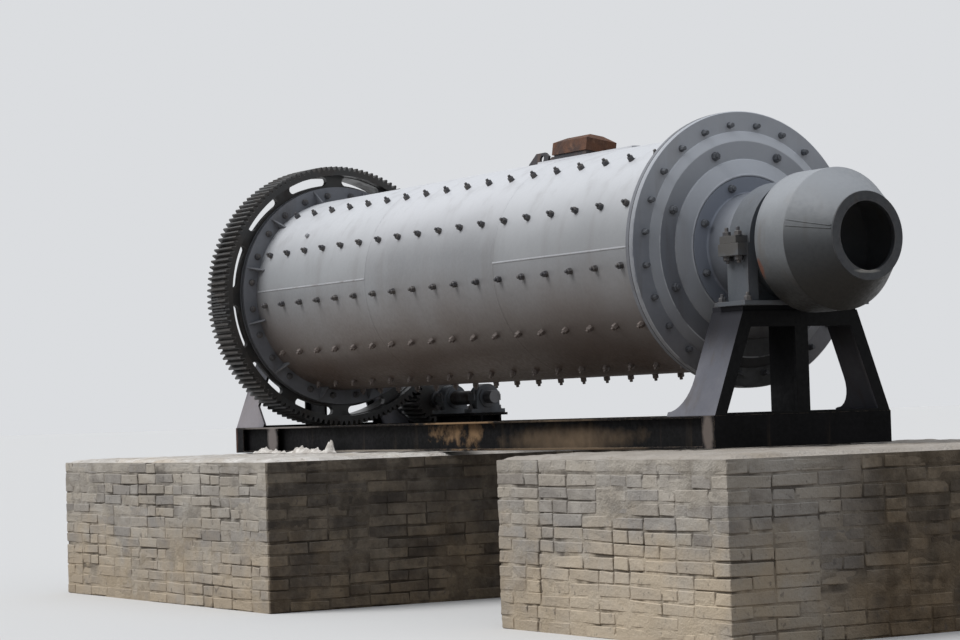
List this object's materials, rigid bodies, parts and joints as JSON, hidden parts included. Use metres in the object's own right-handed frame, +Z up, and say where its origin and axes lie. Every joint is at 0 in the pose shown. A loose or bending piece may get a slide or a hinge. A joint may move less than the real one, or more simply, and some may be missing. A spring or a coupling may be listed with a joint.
{
  "type": "ball mill",
  "caption": "Small overflow ball mill: a bolted drum on hollow trunnions with a drum feeder, girth gear and pinion shaft, on a beam frame over brick piers.",
  "frame": {"origin": "on the ground under the middle of the piers' outline", "axes": "+X along the drum axis towards the feed end, +Z up, -Y the near side of the picture"},
  "size_m": [6.59, 3.4, 2.684],
  "materials": {
    "brick": "rough",
    "mortar": "rough",
    "black_frame_paint": "satin",
    "pedestal_paint": "satin",
    "bearing_paint": "satin",
    "bush_metal": "machined",
    "drum_paint": "satin",
    "head_paint": "satin",
    "machined_steel": "machined",
    "gear_iron": "greased",
    "feeder_paint": "satin",
    "rusty_plate": "rusty"
  },
  "bodies": {
    "base": {"feed_pier": "brick", "feed_pier_mortar": "mortar", "drive_pier": "brick", "drive_pier_mortar": "mortar", "near_beam": "black_frame_paint", "far_beam": "black_frame_paint", "feed_end_beam": "black_frame_paint", "drive_end_beam": "black_frame_paint", "inner_ties": "black_frame_paint", "feed_pedestal": "pedestal_paint", "drive_pedestal": "pedestal_paint", "feed_bearing_base": "bearing_paint", "feed_bearing_bush": "bush_metal", "feed_bearing_cap": "bearing_paint", "drive_bearing_base": "bearing_paint", "drive_bearing_bush": "bush_metal", "drive_bearing_cap": "bearing_paint", "pinion_bed": "black_frame_paint", "outboard_block": "bearing_paint", "inboard_block": "bearing_paint", "end_block": "bearing_paint"},
    "drum": {"shell": "drum_paint", "feed_shell_flange": "head_paint", "drive_shell_flange": "head_paint", "feed_head": "head_paint", "drive_head": "head_paint", "feed_trunnion": "head_paint", "drive_trunnion": "head_paint", "girth_gear": "gear_iron", "gear_web": "gear_iron", "feeder_back": "feeder_paint", "feeder_barrel": "feeder_paint", "feeder_cone": "feeder_paint", "feeder_mouth": "feeder_paint", "feeder_lip": "feeder_paint", "manhole_pad": "drum_paint", "manhole_neck": "head_paint", "manhole_cover": "rusty_plate", "manhole_lugs": "head_paint"},
    "pinion": {"pinion": "gear_iron", "pinion_shaft": "machined_steel"}
  },
  "joints": [
    {"name": "drum_spin", "type": "hinge", "parent": "base", "child": "drum", "pos_m": [-0.547, 0, 1.844], "axis": [1, 0, 0], "continuous": true},
    {"name": "pinion_spin", "type": "hinge", "parent": "base", "child": "pinion", "pos_m": [-2.825, 0.68731, 1.15669], "axis": [1, 0, 0], "continuous": true}
  ],
  "couplings": [
    {"joint": "pinion_spin", "follows": "drum_spin", "ratio": -5.75}
  ]
}
